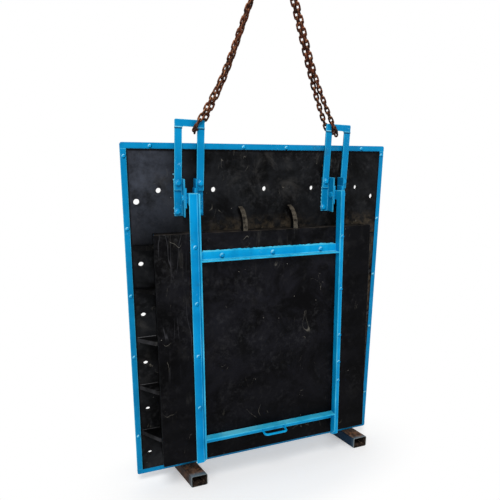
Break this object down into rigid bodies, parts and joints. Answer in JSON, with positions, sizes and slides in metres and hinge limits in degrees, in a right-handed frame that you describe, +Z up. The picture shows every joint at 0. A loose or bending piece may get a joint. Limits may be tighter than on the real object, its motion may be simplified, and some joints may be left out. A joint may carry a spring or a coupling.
{
  "type": "flap gate",
  "caption": "Wall-mounted water flap gate: rubber-lined frame, seat box and hinged flap with steel stiffeners, standing on two bearers under a chain sling.",
  "frame": {"origin": "on the floor, under the middle of the assembly's box", "axes": "+Z up, +X across the gate, +Y towards the wall (upstream), -Y downstream, where the flap opens"},
  "size_m": [1.258, 0.322, 2.53],
  "materials": {
    "blue_paint": "satin",
    "back_paint": "matte",
    "rubber": "matte",
    "bearer_steel": "matte",
    "chain_steel": "matte"
  },
  "bodies": {
    "frame": {"frame_plate": "back_paint", "frame_lining": "rubber", "trim_top": "blue_paint", "trim_bottom": "blue_paint", "trim_left": "blue_paint", "trim_right": "blue_paint", "seat_wall_left": "rubber", "seat_wall_right": "rubber", "seat_wall_top": "rubber", "seat_wall_bottom": "rubber", "seat_flange": "back_paint", "seat_seal": "rubber", "gussets_left": "rubber", "gussets_right": "rubber", "hanger_left": "blue_paint", "hanger_right": "blue_paint", "bracket_left_outer": "blue_paint", "bracket_left_inner": "blue_paint", "bracket_right_inner": "blue_paint", "bracket_right_outer": "blue_paint", "bearing_plates_left": "blue_paint", "bearing_plates_right": "blue_paint", "hinge_pin_left": "blue_paint", "hinge_pin_right": "blue_paint", "bearer_left": "bearer_steel", "bearer_right": "bearer_steel", "chain_left": "chain_steel", "chain_right": "chain_steel", "lifting_ring": "chain_steel"},
    "flap": {"flap_slab": "rubber", "flap_panel": "rubber", "arm_left": "blue_paint", "arm_right": "blue_paint", "hinge_lug_left": "blue_paint", "hinge_lug_right": "blue_paint", "crossbar_top": "blue_paint", "crossbar_bottom": "blue_paint", "horn_left": "rubber", "horn_right": "rubber", "handle": "blue_paint"}
  },
  "joints": [
    {"name": "flap_hinge", "type": "hinge", "parent": "frame", "child": "flap", "pos_m": [0, 0.00595, 1.38138], "axis": [-1, 0, 0], "range_deg": [0, 40]}
  ]
}
